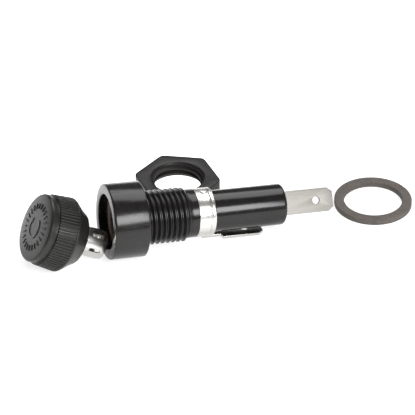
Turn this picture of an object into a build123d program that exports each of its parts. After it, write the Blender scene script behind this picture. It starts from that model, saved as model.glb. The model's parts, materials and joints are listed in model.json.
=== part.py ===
"""Panel-mount holder for a 6.35 x 31.75 mm cartridge fuse, laid out as a kit on a flat surface.

The turned pieces of the holder are drawn standing on their own axis, with distances from the
collar's front ring, and the knob's pieces with distances from the knob's face. Two planes,
HOLDER and KNOB, then lay them down: the holder rests on the rear edge of its collar and on the
tip of its side blade, and the knob rests on the edge of its skirt and on the end of its shell.
+X runs along the holder from the knob to the rear blade, +Z is up.
"""

import os
from math import atan2, cos, hypot, pi, sin, tan

from build123d import *

# ---- fuse and fits
fuse_radius = 3.175
fuse_clearance = 0.275
slide_gap = 0.10
seat_gap = 0.05

# ---- front housing: collar, thread and neck
collar_radius = 10.0
collar_length = 9.3
collar_round = 0.45
small_round = 0.2
mouth_radius = 7.25
lock_ring_front = 2.3
lock_ring_thickness = 0.7
lock_chamber_radius = 6.9
lock_chamber_length = 3.5
thread_radius = 14.2875 / 2
thread_pitch = 25.4 / 18
thread_depth = 0.61 * thread_pitch
thread_length = 12.8
thread_relief = 0.6
thread_shoulder = 0.3
neck_length = 1.7
spigot_wall = 0.65

# ---- contact sleeve and lock ring
sleeve_wall = 0.5
sleeve_flange_radius = 6.7
sleeve_flange_thickness = 0.5
lock_ring_bore = 5.1
lug_notch_reach = 6.2
lug_notch_width = 1.6

# ---- side terminal
terminal_wall = 0.45
terminal_length = 4.7
terminal_lip = 0.5
terminal_bead = 0.25
blade_width = 6.35
blade_thickness = 0.81
blade_tip_chamfer = 1.1
blade_hole_radius = 1.0
blade_hole_setback = 4.75
side_blade_length = 14.7
side_blade_overlap = 2.2
side_blade_sink = 0.05
side_neck_width = 3.6
side_neck_length = 3.4

# ---- link rivet
link_rivet_radius = 0.6
link_rivet_head_radius = 1.0
link_rivet_head = 0.4

# ---- rear tube and what it holds
tube_step = 0.3
tube_length = 20.0
tube_round = 0.9
tube_socket_length = 3.0
tube_socket_wall = 0.6
chamber_step = 0.95
chamber_length = 15.7
plug_length = 3.3
plug_inset = 0.2
spring_seat_thickness = 1.0
rear_blade_length = 14.4
rear_blade_lean = 36.0
contact_gap = 0.15
contact_length = 3.2
contact_wall = 0.6

# ---- knob
knob_face_radius = 9.05
knob_face_thickness = 1.25
knob_face_dome = 0.45
band_radius = 8.75
knurl_start = 2.3
knurl_end = 7.4
knurl_front_radius = 9.45
knurl_depth = 0.3
knurl_count = 72
skirt_radius = 9.9
skirt_edge = 7.9
knob_length = 12.1
knob_rim_radius = 6.9
knob_socket_floor = 5.0

# ---- shell, plunger and spring in the knob
shell_wall = 0.5
shell_radius = fuse_radius + fuse_clearance + shell_wall
shell_end_radius = 3.7
shell_lean = 28.0
lug_place = 13.6
lug_radius = 0.5
lug_reach = 5.7
shell_slot_start = 14.8
shell_slot_width = 1.0
shell_slot_count = 6
first_slot_angle = 32.0
lug_angle = first_slot_angle - 60
shell_rim = 1.5
rivet_head_radius = 1.9
rivet_head = 0.6
rivet_shank_radius = 0.9
rivet_depth = 2.0
washer_gap = 0.06
washer_thickness = 0.5
washer_radius = 3.3
plunger_place = 14.0
plunger_thickness = 1.3

# ---- springs
wire_radius = 0.3
rear_spring_radius = 3.2
rear_spring_turns = 5.0
knob_spring_radius = 2.7
knob_spring_turns = 4.0

# ---- loose nut and gasket
nut_across_flats = 20.64
nut_thickness = 4.5
nut_corner_round = 2.0
nut_edge_chamfer = 0.3
nut_lead_in = 0.5
nut_thread_clearance = 0.10
gasket_radius = 10.5
gasket_bore_radius = 7.9
gasket_thickness = 1.6

# ---- how the loose pieces lie
knob_gap = 0.05
knob_side_step = 0.6
nut_ahead = 26.6
nut_aside = 23.8
nut_turned = -24.4
gasket_ahead = 75.3
gasket_aside = 2.1

# ---- places along the holder's axis
thread_end = collar_length + thread_length
neck_end = thread_end + neck_length
spigot_end = neck_end + terminal_length - terminal_lip - seat_gap
terminal_end = neck_end + terminal_length
lock_shelf = lock_ring_front + lock_ring_thickness
throat_start = lock_shelf + lock_chamber_length
tube_start = spigot_end - tube_socket_length
tube_end = terminal_end + tube_length
chamber_start = tube_end - chamber_length
plug_end = tube_end - plug_inset
plug_start = plug_end - plug_length
seat_start = plug_start - spring_seat_thickness
link_rivet_place = neck_end + terminal_length / 2
side_blade_end = terminal_end + side_blade_length
rear_blade_end = tube_end + rear_blade_length

# ---- radii that follow from the fits
fuse_bore = fuse_radius + fuse_clearance
sleeve_bore = shell_radius + slide_gap
sleeve_radius = sleeve_bore + sleeve_wall
throat_radius = sleeve_radius + seat_gap
tube_socket_radius = throat_radius + tube_socket_wall
tube_radius = tube_socket_radius + tube_step
tube_seat_radius = tube_socket_radius + seat_gap
spigot_radius = tube_seat_radius + spigot_wall
terminal_bore = spigot_radius + seat_gap
terminal_radius = terminal_bore + terminal_wall
neck_radius = terminal_radius
chamber_radius = fuse_bore + chamber_step
contact_radius = chamber_radius - contact_gap
side_blade_radius = terminal_radius - side_blade_sink + blade_thickness
shoulder_radius = thread_radius + seat_gap
plug_radius = chamber_radius - seat_gap / 2

# ---- the holder's slope: it rests on the collar's rear edge and on the side blade's tip
holder_tilt = atan2(collar_radius - side_blade_radius, side_blade_end - collar_length)
ring_height = collar_length * sin(holder_tilt) + collar_radius * cos(holder_tilt)

# ---- the knob's slope: it rests on the skirt's edge and on the end of the shell
knob_tilt = shell_lean * pi / 180
shell_end = skirt_edge + (skirt_radius - shell_end_radius) / tan(knob_tilt)
shell_taper_start = skirt_edge + (skirt_radius - shell_radius) / tan(knob_tilt)
shell_slot_end = shell_taper_start - shell_rim / 4
shell_end_height = shell_end_radius * cos(knob_tilt)


def rim_reach(angle):
    """How far ahead the shell may end before the rim point at an angle meets the collar's front ring."""
    up = -shell_end_radius * cos(angle)
    aside = knob_side_step + shell_end_radius * sin(angle)
    below = ring_height - shell_end_height - up * cos(knob_tilt)
    if hypot(below / cos(holder_tilt), aside) < mouth_radius:
        return 0
    return -below * tan(holder_tilt) - up * sin(knob_tilt)


shell_end_ahead = min(rim_reach(pi * step / 90) for step in range(180)) - knob_gap

HOLDER = Plane(
    origin=(0, 0, ring_height),
    x_dir=(sin(holder_tilt), 0, cos(holder_tilt)),
    z_dir=(cos(holder_tilt), 0, -sin(holder_tilt)),
)
KNOB = Plane(
    origin=(
        shell_end_ahead - shell_end * cos(knob_tilt),
        knob_side_step,
        shell_end_height + shell_end * sin(knob_tilt),
    ),
    x_dir=(sin(knob_tilt), 0, cos(knob_tilt)),
    z_dir=(cos(knob_tilt), 0, -sin(knob_tilt)),
)
NUT = Plane(origin=(nut_ahead, nut_aside, 0))
GASKET = Plane(origin=(gasket_ahead, gasket_aside, 0))


def turned(*corners):
    """Solid of revolution about Z; each corner is (radius, distance) or (radius, distance, round)."""
    points = [(corner[0], corner[1]) for corner in corners]
    rounds = [corner[2] if len(corner) > 2 else 0 for corner in corners]
    outline = Plane.XZ * FilletPolyline(*points, radius=rounds, close=True)
    return revolve(make_face(outline), Axis.Z)


def rod(radius, start, end):
    """Plain cylinder on the axis between two distances."""
    return Pos(0, 0, start) * Cylinder(radius, end - start, align=(Align.CENTER, Align.CENTER, Align.MIN))


def spoke(radius, distance, inner, outer, angle=0):
    """Plain cylinder that stands out of the axis at a distance, from one radius to another."""
    pin = Cylinder(radius, outer - inner, align=(Align.CENTER, Align.CENTER, Align.MIN))
    return Rot(0, 0, angle) * Pos(inner, 0, distance) * Rot(0, 90, 0) * pin


def thread_teeth(crest_radius, root_radius, start, end):
    """Corner list of 60-degree teeth of the thread's pitch, from one distance to another."""
    count = int((end - start) / thread_pitch)
    flat = thread_pitch / 8
    corners = []
    for tooth in range(count):
        foot = start + tooth * thread_pitch
        corners.append((root_radius, foot + flat))
        corners.append((crest_radius, foot + (thread_pitch - flat) / 2))
        corners.append((crest_radius, foot + (thread_pitch + flat) / 2))
        corners.append((root_radius, foot + thread_pitch))
    return corners


def coil(mean_radius, turns, start, end):
    """Compression spring between two distances, with its wire inside both of them."""
    height = end - start - 2 * wire_radius
    path = Pos(0, 0, start + wire_radius) * Helix(height / turns, height, mean_radius)
    section = Plane(origin=path @ 0, z_dir=path % 0) * Circle(wire_radius)
    return sweep(section, path=path, is_frenet=True)


def blade_tab(root, end):
    """Flat tab along the axis with two cut corners and a hole, its width along local X."""
    half = blade_width / 2
    cut = blade_tip_chamfer
    outline = Plane.XZ * Polyline(
        (-half, root),
        (-half, end - cut * 1.3),
        (-half + cut, end),
        (half - cut, end),
        (half, end - cut * 1.3),
        (half, root),
        close=True,
    )
    plate = extrude(make_face(outline), blade_thickness / 2, both=True)
    hole = Pos(0, 0, end - blade_hole_setback) * Rot(90, 0, 0) * Cylinder(blade_hole_radius, 2 * blade_thickness)
    return plate - hole


def front_housing():
    """Moulded collar, thread, neck and spigot with the stepped bore through them."""
    root_radius = thread_radius - thread_depth
    body = turned(
        (mouth_radius, 0, small_round),
        (collar_radius, 0, collar_round),
        (collar_radius, collar_length, small_round),
        (shoulder_radius, collar_length),
        (shoulder_radius, collar_length + thread_shoulder),
        (root_radius, collar_length + thread_shoulder),
        *thread_teeth(thread_radius, root_radius, collar_length + thread_shoulder, thread_end - thread_relief),
        (root_radius, thread_end - thread_relief),
        (neck_radius, thread_end),
        (neck_radius, neck_end),
        (spigot_radius, neck_end),
        (spigot_radius, spigot_end),
        (tube_seat_radius, spigot_end),
        (tube_seat_radius, tube_start),
        (throat_radius, tube_start),
        (throat_radius, throat_start),
        (lock_chamber_radius, throat_start),
        (lock_chamber_radius, lock_shelf),
        (mouth_radius, lock_shelf),
    )
    return body - spoke(link_rivet_radius, link_rivet_place, 0, collar_radius)


def lock_ring():
    """Pressed ring in the mouth with two notches that the knob's lugs pass."""
    ring = turned(
        (lock_ring_bore, lock_ring_front),
        (mouth_radius - seat_gap / 2, lock_ring_front),
        (mouth_radius - seat_gap / 2, lock_shelf),
        (lock_ring_bore, lock_shelf),
    )
    notch = Pos(0, 0, lock_ring_front) * Box(2 * lug_notch_reach, lug_notch_width, 4 * lock_ring_thickness)
    return ring - Rot(0, 0, lug_angle) * notch


def contact_sleeve():
    """Flanged metal tube that touches the knob's shell and carries the current to the side terminal."""
    tube = turned(
        (sleeve_bore, throat_start - sleeve_flange_thickness, 0.3),
        (sleeve_flange_radius, throat_start - sleeve_flange_thickness),
        (sleeve_flange_radius, throat_start),
        (sleeve_radius, throat_start),
        (sleeve_radius, spigot_end - seat_gap),
        (sleeve_bore, spigot_end - seat_gap),
    )
    return tube - spoke(link_rivet_radius, link_rivet_place, 0, collar_radius)


def side_terminal():
    """Metal ring round the spigot with a rolled rear lip, and the blade welded on under it."""
    lip_start = terminal_end - terminal_lip
    bead = terminal_bead
    ring = turned(
        (terminal_bore, neck_end),
        (terminal_radius, neck_end, 0.2),
        (terminal_radius, lip_start - 4 * bead),
        (terminal_radius - bead, lip_start - 3 * bead),
        (terminal_radius, lip_start - 2 * bead),
        (terminal_radius, terminal_end, 0.35),
        (tube_seat_radius, terminal_end),
        (tube_seat_radius, lip_start),
        (terminal_bore, lip_start),
    )
    ring -= spoke(link_rivet_radius, link_rivet_place, 0, collar_radius)
    tab = blade_tab(terminal_end + side_neck_length, side_blade_end)
    neck = Box(side_neck_width, blade_thickness, side_neck_length + side_blade_overlap, align=Align.MIN)
    neck = Pos(-side_neck_width / 2, -blade_thickness / 2, terminal_end - side_blade_overlap) * neck
    blade = Pos(-(side_blade_radius - blade_thickness / 2), 0, 0) * Rot(0, 0, 90) * (tab + neck)
    return ring + blade


def link_rivet():
    """Rivet that ties sleeve, tube, spigot and side terminal together."""
    head_foot = terminal_radius - 0.05
    shank = spoke(link_rivet_radius, link_rivet_place, sleeve_bore + 0.05, head_foot + 0.1)
    head = Pos(head_foot, 0, link_rivet_place) * Rot(0, 90, 0) * turned(
        (0, 0), (link_rivet_head_radius, 0), (link_rivet_head_radius, link_rivet_head, 0.25), (0, link_rivet_head)
    )
    ring_wall = rod(terminal_radius, neck_end, terminal_end) - rod(link_rivet_radius, 0, terminal_end)
    return shank + (head - ring_wall)


def rear_tube():
    """Moulded tube with the fuse bore, and behind it the wider chamber for spring and contact."""
    tube = turned(
        (throat_radius, tube_start),
        (tube_socket_radius, tube_start),
        (tube_socket_radius, terminal_end + seat_gap),
        (tube_radius, terminal_end + seat_gap, small_round),
        (tube_radius, tube_end, tube_round),
        (chamber_radius, tube_end),
        (chamber_radius, chamber_start),
        (fuse_bore, chamber_start),
        (fuse_bore, spigot_end),
        (throat_radius, spigot_end),
    )
    return tube - spoke(link_rivet_radius, link_rivet_place, 0, collar_radius)


def end_plug():
    """Insulating plug that closes the tube and grips the rear blade."""
    slot = Box(blade_width, blade_thickness, 4 * plug_length)
    return rod(plug_radius, plug_start, plug_end) - Pos(0, 0, plug_start) * Rot(0, 0, -rear_blade_lean) * slot


def rear_blade():
    """Flat blade through the end plug."""
    return Rot(0, 0, -rear_blade_lean) * blade_tab(plug_start, rear_blade_end)


def rear_spring_seat():
    """Brass disc between the blade's inner end and the spring."""
    return rod(plug_radius, seat_start, plug_start)


def rear_spring():
    """Compression spring behind the rear contact."""
    return coil(rear_spring_radius, rear_spring_turns, chamber_start + contact_length, seat_start)


def rear_contact():
    """Brass cup that the spring holds against the step at the end of the fuse bore."""
    front = chamber_start + seat_gap
    return turned(
        (0, front),
        (contact_radius, front, 0.3),
        (contact_radius, front + contact_wall * 2),
        (contact_radius - contact_wall, front + contact_wall * 2),
        (contact_radius - contact_wall, chamber_start + contact_length),
        (0, chamber_start + contact_length),
    )


def knurl_star(tip_radius, distance):
    """Toothed outline of the knob's skirt at one distance from its face."""
    points = []
    for tooth in range(knurl_count):
        for share, radius in ((0.0, tip_radius), (0.5, tip_radius - knurl_depth)):
            turn = 2 * pi * (tooth + share) / knurl_count
            points.append((radius * cos(turn), radius * sin(turn)))
    return Pos(0, 0, distance) * make_face(Polyline(*points, close=True))


def knob_cap():
    """Moulded knob with a smooth band, a knurled skirt and a tapered rear that centres in the mouth."""
    core = turned(
        (0, knob_face_thickness),
        (band_radius, knob_face_thickness),
        (band_radius, knurl_end - 0.2),
        (skirt_radius, knurl_end - 0.2, 0.15),
        (skirt_radius, skirt_edge, 0.05),
        (knob_rim_radius, knob_length, 0.5),
        (shell_radius + seat_gap, knob_length),
        (shell_radius + seat_gap, knob_socket_floor),
        (0, knob_socket_floor),
    )
    teeth = loft([knurl_star(knurl_front_radius, knurl_start), knurl_star(skirt_radius, knurl_end)], ruled=True)
    socket = rod(shell_radius + seat_gap, knob_socket_floor, knob_length)
    rivet_hole = rod(rivet_shank_radius, knob_socket_floor - rivet_depth, knob_socket_floor)
    return core + (teeth - socket) - rivet_hole


def knob_face():
    """Slightly domed face disc with a round edge."""
    disc = turned(
        (0, -knob_face_dome),
        (knob_face_radius * 0.55, -knob_face_dome * 0.7),
        (knob_face_radius - 0.5, 0.1, 0.8),
        (knob_face_radius, 0.55, 0.3),
        (knob_face_radius, knob_face_thickness),
        (0, knob_face_thickness),
    )
    return disc


def knob_shell():
    """Slotted metal shell that holds the front end of the fuse, with two pressed-out lugs."""
    inner = shell_radius - shell_wall
    end_inner = shell_end_radius - shell_wall / 4
    shell = turned(
        (0, knob_socket_floor),
        (shell_radius, knob_socket_floor),
        (shell_radius, shell_taper_start),
        (shell_end_radius, shell_end, 0.05),
        (end_inner, shell_end),
        (end_inner, shell_end - 0.2),
        (inner, shell_taper_start - 0.2),
        (inner, knob_socket_floor + shell_wall),
        (0, knob_socket_floor + shell_wall),
    )
    slot_length = shell_slot_end - shell_slot_start
    slot = Box(2 * shell_radius, shell_slot_width, slot_length, align=(Align.MIN, Align.CENTER, Align.MIN))
    for turn in range(shell_slot_count):
        angle = first_slot_angle + 360 * turn / shell_slot_count
        shell -= Rot(0, 0, angle) * Pos(0, 0, shell_slot_start) * slot
    for angle in (lug_angle, lug_angle + 180):
        shell += spoke(lug_radius, lug_place, inner + shell_wall / 2, lug_reach, angle)
    return shell - rod(rivet_shank_radius, knob_socket_floor, knob_socket_floor + shell_wall)


def shell_rivet():
    """Rivet that holds the shell in the knob."""
    floor = knob_socket_floor + shell_wall
    shank = rod(rivet_shank_radius, knob_socket_floor - rivet_depth, floor)
    return shank + rod(rivet_head_radius, floor, floor + rivet_head)


washer_start = knob_socket_floor + shell_wall + rivet_head + washer_gap
washer_end = washer_start + washer_thickness


def spring_washer():
    """Loose washer under the knob's spring, free to turn on the rivet's head."""
    return rod(washer_radius, washer_start, washer_end) - rod(wire_radius * 2, washer_start, washer_end)


def knob_spring():
    """Compression spring behind the knob's plunger."""
    return coil(knob_spring_radius, knob_spring_turns, washer_end, plunger_place - seat_gap)


def knob_plunger():
    """Brass disc that presses on the end of the fuse."""
    radius = fuse_bore - slide_gap
    return turned(
        (0, plunger_place),
        (radius, plunger_place),
        (radius, plunger_place + plunger_thickness, 0.3),
        (0, plunger_place + plunger_thickness),
    )


def panel_nut():
    """Hexagon nut with rounded corners that fits the housing's thread."""
    hexagon = RegularPolygon(nut_across_flats / 2, 6, major_radius=False, rotation=30)
    blank = extrude(fillet(hexagon.vertices(), nut_corner_round), nut_thickness)
    blank = Rot(0, 0, 30) * blank
    flat_faces = blank.faces().sort_by(Axis.Z)
    blank = chamfer(flat_faces[0].edges() + flat_faces[-1].edges(), nut_edge_chamfer)
    crest = thread_radius - thread_depth + nut_thread_clearance
    root = thread_radius + nut_thread_clearance
    lead = nut_lead_in
    tapped = turned(
        (0, -lead),
        (root + lead, -lead),
        (crest, lead),
        *thread_teeth(root, crest, lead, nut_thickness - lead),
        (crest, nut_thickness - lead),
        (root + lead, nut_thickness + lead),
        (0, nut_thickness + lead),
    )
    return Rot(0, 0, nut_turned) * (blank - tapped)


def panel_gasket():
    """Flat rubber ring that seals the collar against the panel."""
    return turned(
        (gasket_bore_radius, 0, 0.15),
        (gasket_radius, 0, 0.15),
        (gasket_radius, gasket_thickness, 0.15),
        (gasket_bore_radius, gasket_thickness, 0.15),
    )


GROUPS = (
    (
        HOLDER,
        (
            front_housing, lock_ring, contact_sleeve, side_terminal, link_rivet, rear_tube,
            end_plug, rear_blade, rear_spring_seat, rear_spring, rear_contact,
        ),
    ),
    (
        KNOB,
        (knob_cap, knob_face, knob_shell, shell_rivet, spring_washer, knob_spring, knob_plunger),
    ),
    (NUT, (panel_nut,)),
    (GASKET, (panel_gasket,)),
)


def build():
    """Every piece in its place, moved so that the origin is under the middle of the whole kit."""
    pieces = {}
    for plane, makers in GROUPS:
        for maker in makers:
            pieces[maker.__name__] = plane.location * maker()
    box = Compound(children=[Part() + piece for piece in pieces.values()]).bounding_box()
    middle = Pos(-(box.min.X + box.max.X) / 2, -(box.min.Y + box.max.Y) / 2, -box.min.Z)
    return {name: middle * piece for name, piece in pieces.items()}, middle


parts, middle = build()
os.makedirs("parts", exist_ok=True)
for name, piece in parts.items():
    export_step(piece, f"parts/{name}.step")
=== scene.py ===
import json
import math

import bmesh
import bpy
from mathutils import Matrix, Vector


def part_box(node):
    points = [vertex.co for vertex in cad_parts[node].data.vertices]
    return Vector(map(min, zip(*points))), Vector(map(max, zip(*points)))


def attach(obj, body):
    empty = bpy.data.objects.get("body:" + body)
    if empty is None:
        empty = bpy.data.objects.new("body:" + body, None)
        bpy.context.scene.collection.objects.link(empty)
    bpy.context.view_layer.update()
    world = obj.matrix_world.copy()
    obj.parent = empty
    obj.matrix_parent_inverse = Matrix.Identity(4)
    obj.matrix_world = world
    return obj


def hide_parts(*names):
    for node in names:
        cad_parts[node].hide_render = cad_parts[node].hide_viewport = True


bl_info = {
    "name": "Cartridge fuse holder kit",
    "version": (1, 0, 0),
    "blender": (4, 5, 0),
    "location": "3D View > Sidebar > Fuse holder",
    "description": "Models the turned, moulded and stamped pieces of a panel-mount fuse holder",
    "category": "Add Mesh",
}

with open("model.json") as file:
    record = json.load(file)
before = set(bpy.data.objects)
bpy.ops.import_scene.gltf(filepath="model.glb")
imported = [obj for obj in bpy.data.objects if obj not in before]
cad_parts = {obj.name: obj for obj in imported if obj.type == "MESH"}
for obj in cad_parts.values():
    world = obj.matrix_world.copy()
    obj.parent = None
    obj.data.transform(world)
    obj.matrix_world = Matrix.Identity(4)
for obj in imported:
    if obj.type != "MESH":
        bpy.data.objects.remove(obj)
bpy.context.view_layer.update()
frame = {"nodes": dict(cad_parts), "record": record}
MM = 0.001
GAP = 0.05 * MM
SOFT = 0.2 * MM
SHEET_EDGE = 0.08 * MM
SLIP = 0.03 * MM
THREAD_LAP = 0.02 * MM
THREAD_BACK = 0.3 * MM
RELIEF = 0.1 * MM
SAME_POINT = 1e-7
SEAM = 2e-6
THREAD_ROWS = 16


# ---- where the holder and the knob lie

def record_entry(group, name):
    """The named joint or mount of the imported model."""
    record = frame["record"]
    entries = record["mounts"] if group == "mounts" else record["behaviour"]["joints"]
    return next(entry for entry in entries if entry["name"] == name)


def lying_matrix(origin, axis):
    """Local Z along the axis, local X up in the axis's upright plane."""
    along = Vector(axis).normalized()
    up = Vector((0, 0, 1))
    up = (up - up.dot(along) * along).normalized()
    side = along.cross(up)
    return Matrix((
        (up.x, side.x, along.x, origin.x),
        (up.y, side.y, along.y, origin.y),
        (up.z, side.z, along.z, origin.z),
        (0, 0, 0, 1),
    ))


def holder_matrix(sizes):
    """The holder's own frame, with its origin at the middle of the collar's front ring."""
    thread = record_entry("mounts", "panel_thread")
    axis = Vector(record_entry("joints", "rear_contact_push")["axis"])
    middle = Vector(thread["pos_m"])
    return lying_matrix(middle - axis * (sizes.collar_length + sizes.thread_length / 2), axis)


def knob_matrix():
    """The knob's own frame, with its origin at the middle of its face's edge."""
    turn = record_entry("joints", "knob_turn")
    return lying_matrix(Vector(turn["pos_m"]), turn["axis"])


def flat_matrix(node):
    """A frame under the middle of a piece that lies flat."""
    low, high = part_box(node)
    return Matrix.Translation(((low.x + high.x) / 2, (low.y + high.y) / 2, low.z))


# ---- sizes and colours

def length(name, description, millimetres):
    return bpy.props.FloatProperty(
        name=name, description=description, default=millimetres * MM, unit="LENGTH", precision=5,
    )


def angle(name, description, degrees):
    return bpy.props.FloatProperty(
        name=name, description=description, default=math.radians(degrees), subtype="ANGLE",
    )


def count(name, description, number):
    return bpy.props.IntProperty(name=name, description=description, default=number, min=1)


def strength(name, description, value):
    return bpy.props.FloatProperty(name=name, description=description, default=value, min=0)


def colour(name, description, value):
    return bpy.props.FloatVectorProperty(
        name=name, description=description, default=value, subtype="COLOR", size=3, min=0, max=1,
    )


class HolderSizes(bpy.types.PropertyGroup):
    """Sizes of the moulded body and its metal ring, with distances from the collar's front ring."""

    collar_radius: length("Collar radius", "Outside of the collar", 10.0)
    collar_length: length("Collar length", "Front ring to panel face", 9.3)
    collar_round: length("Collar edge", "Round of the front edge", 0.45)
    mouth_radius: length("Mouth radius", "Opening in the collar", 7.25)
    lock_ring_front: length("Lock ring depth", "Mouth to the lock ring", 2.3)
    lock_ring_thickness: length("Lock ring thickness", "Sheet of the lock ring", 0.7)
    lock_ring_bore: length("Lock ring bore", "Hole in the lock ring", 5.1)
    lug_notch_reach: length("Notch reach", "How far out the lug notches go", 6.2)
    lug_notch_width: length("Notch width", "Width of the lug notches", 1.6)
    chamber_radius: length("Lug chamber radius", "Room behind the lock ring", 6.9)
    chamber_length: length("Lug chamber length", "Depth of that room", 3.5)
    sleeve_radius: length("Sleeve radius", "Outside of the contact sleeve", 4.55)
    sleeve_bore: length("Sleeve bore", "Inside of the contact sleeve", 4.05)
    sleeve_flange: length("Sleeve flange radius", "Rim of the contact sleeve", 6.7)
    sleeve_flange_sheet: length("Sleeve flange sheet", "Thickness of that rim", 0.5)
    sleeve_setback: length("Sleeve setback", "Metal ring's end to the sleeve's end", 0.7)
    thread_radius: length("Thread radius", "Over the crests", 7.14375)
    thread_pitch: length("Thread pitch", "18 turns to the inch", 25.4 / 18)
    thread_depth: length("Thread depth", "Crest to root", 0.86)
    thread_length: length("Thread length", "Panel face to neck", 12.8)
    thread_relief: length("Thread relief", "Plain slope behind the thread", 0.6)
    neck_radius: length("Neck radius", "Plain neck behind the thread", 6.4)
    neck_length: length("Neck length", "Thread to metal ring", 1.7)
    ring_radius: length("Metal ring radius", "Outside of the side terminal", 6.4)
    ring_length: length("Metal ring length", "Along the axis", 4.7)
    ring_lip: length("Metal ring lip", "Thickness of the rear lip", 0.5)
    ring_bore: length("Metal ring bore", "Inside of the side terminal", 5.95)
    ring_bead: length("Metal ring bead", "Depth of the rolled groove", 0.25)
    rivet_radius: length("Rivet radius", "Shank of the link rivet", 0.55)
    rivet_head_radius: length("Rivet head radius", "Head of the link rivet", 1.0)
    tube_radius: length("Tube radius", "Outside of the rear tube", 5.5)
    socket_radius: length("Tube socket radius", "Front end of the tube inside the ring", 5.2)
    socket_length: length("Tube socket length", "Length of that end", 3.5)
    tube_length: length("Tube length", "Metal ring to rear end", 20.0)
    tube_round: length("Tube end round", "Round of the rear edge", 0.9)
    tube_bore: length("Tube bore", "Spring chamber at the rear end", 4.4)
    tube_bore_depth: length("Tube bore depth", "Modelled depth of that chamber", 6.0)
    plug_length: length("Plug length", "End plug in the tube", 3.3)
    plug_inset: length("Plug inset", "Tube end to plug end", 0.2)
    blade_grip: length("Blade grip", "Part of the rear blade in the plug", 3.0)
    blade_width: length("Blade width", "Quarter-inch tab", 6.35)
    blade_thickness: length("Blade thickness", "Tab sheet", 0.81)
    blade_cut: length("Blade corner cut", "Cut corners at the tip", 1.1)
    blade_hole: length("Blade hole radius", "Detent hole", 1.0)
    blade_hole_setback: length("Blade hole setback", "Tip to hole", 4.75)
    rear_blade_length: length("Rear blade length", "Beyond the tube", 14.4)
    rear_blade_lean: angle("Rear blade lean", "Turn of the blade away from upright", 36.0)
    side_blade_length: length("Side blade length", "Beyond the metal ring", 14.7)
    side_blade_radius: length("Side blade radius", "Axis to the outer face of the side blade", 7.16)
    side_blade_overlap: length("Side blade overlap", "Part of the blade under the ring", 2.2)
    side_neck_width: length("Side neck width", "Narrow root of the side blade", 3.6)
    side_neck_length: length("Side neck length", "Length of that root", 3.4)
    blade_shoulder: length("Blade shoulder", "Slope from that root to full width", 0.4)


class KnobSizes(bpy.types.PropertyGroup):
    """Sizes of the knob, with distances from the edge of its face."""

    face_radius: length("Face radius", "Smooth face disc", 9.05)
    face_thickness: length("Face thickness", "Edge of the face disc", 1.25)
    face_dome: length("Face dome", "Rise of the face in its middle", 0.45)
    band_radius: length("Band radius", "Smooth band behind the face", 8.75)
    knurl_start: length("Knurl start", "Front ends of the ribs", 2.3)
    knurl_end: length("Knurl end", "Rear ends of the ribs", 7.4)
    knurl_front_radius: length("Front rib radius", "Over the ribs' front ends", 9.45)
    knurl_depth: length("Rib depth", "Height of a rib", 0.3)
    knurl_count: count("Ribs", "Ribs round the skirt", 72)
    skirt_radius: length("Skirt radius", "Widest edge", 9.9)
    skirt_edge: length("Skirt edge", "Place of the widest edge", 7.9)
    tick_count: count("Ticks", "Short bars round the face", 24)
    tick_width: length("Tick width", "Width of a bar", 0.5)
    knob_length: length("Knob length", "Face to rear rim", 12.1)
    rim_radius: length("Rear rim radius", "Tapered rear end", 6.9)
    socket_floor: length("Socket floor", "Where the shell is seated", 5.0)
    shell_radius: length("Shell radius", "Outside of the shell", 3.95)
    shell_wall: length("Shell wall", "Sheet of the shell", 0.5)
    shell_end_radius: length("Shell end radius", "Closed-in end", 3.7)
    shell_taper: length("Shell taper", "Length of the closed-in end", 1.14)
    slot_rest: length("Slot rest", "Slot end to the taper", 0.375)
    lug_place: length("Lug place", "Lugs behind the face", 13.6)
    lug_radius: length("Lug radius", "Half width of a lug", 0.5)
    lug_reach: length("Lug reach", "Tip of a lug from the axis", 5.7)
    slot_start: length("Slot start", "Front ends of the slots", 14.8)
    slot_width: length("Slot width", "Width of a slot", 1.0)
    slot_count: count("Slots", "Slots round the shell", 6)
    first_slot: angle("First slot", "Turn of the first slot from upright", 32.0)
    lug_turn: angle("Lug turn", "Turn of the first lug from upright", -28.0)


class LooseSizes(bpy.types.PropertyGroup):
    """Sizes of the nut and the gasket."""

    nut_across_flats: length("Nut across flats", "Thirteen sixteenths", 20.64)
    nut_thickness: length("Nut thickness", "Flat to flat", 4.5)
    nut_corner_round: length("Nut corner", "Round of each corner", 2.0)
    nut_edge: length("Nut edge", "Round of the flat faces' edges", 0.3)
    nut_lead_in: length("Nut lead-in", "Flat face to the thread", 0.35)
    nut_turned: angle("Nut turn", "Turn of a corner from +X", -24.4)
    nut_clearance: length("Nut thread clearance", "Over the body's thread", 0.1)
    gasket_radius: length("Gasket radius", "Outside of the gasket", 10.5)
    gasket_bore: length("Gasket bore", "Inside of the gasket", 7.9)
    gasket_thickness: length("Gasket thickness", "Rubber sheet", 1.6)
    gasket_round: length("Gasket edge", "Soft edge of the rubber", 0.22)


class FinishColours(bpy.types.PropertyGroup):
    """Base colours of the finishes; the mouth colour is painted light and the shaded tin is painted shade.
    """

    gloss_black: colour("Gloss black", "Polished moulding", (0.0080, 0.0072, 0.0070))
    satin_black: colour("Satin black", "Knob moulding", (0.0112, 0.0108, 0.0101))
    nut_black: colour("Nut black", "Nut moulding", (0.0085, 0.0073, 0.0069))
    # Far lighter than the gloss black of the same moulding: painted light inside the shaded mouth.
    mouth: colour("Mouth", "Inside of the collar", (0.50, 0.40, 0.38))
    rubber: colour("Rubber", "Gasket", (0.085, 0.074, 0.066))
    bright_tin: colour("Bright tin", "Ring and shell", (0.56, 0.55, 0.53))
    dull_tin: colour("Dull tin", "Blades", (0.225, 0.219, 0.203))
    # Shaded tin: darkened, browned tin as painted shade on the metal deep in the mouth.
    shaded_tin: colour("Shaded tin", "Metal inside the mouth", (0.30, 0.24, 0.22))
    brass: colour("Brass", "Inner contacts", (0.70, 0.50, 0.22))
    steel: colour("Spring steel", "Springs", (0.52, 0.52, 0.53))
    floor: colour("Floor", "Plain floor", (0.42, 0.42, 0.42))


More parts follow.
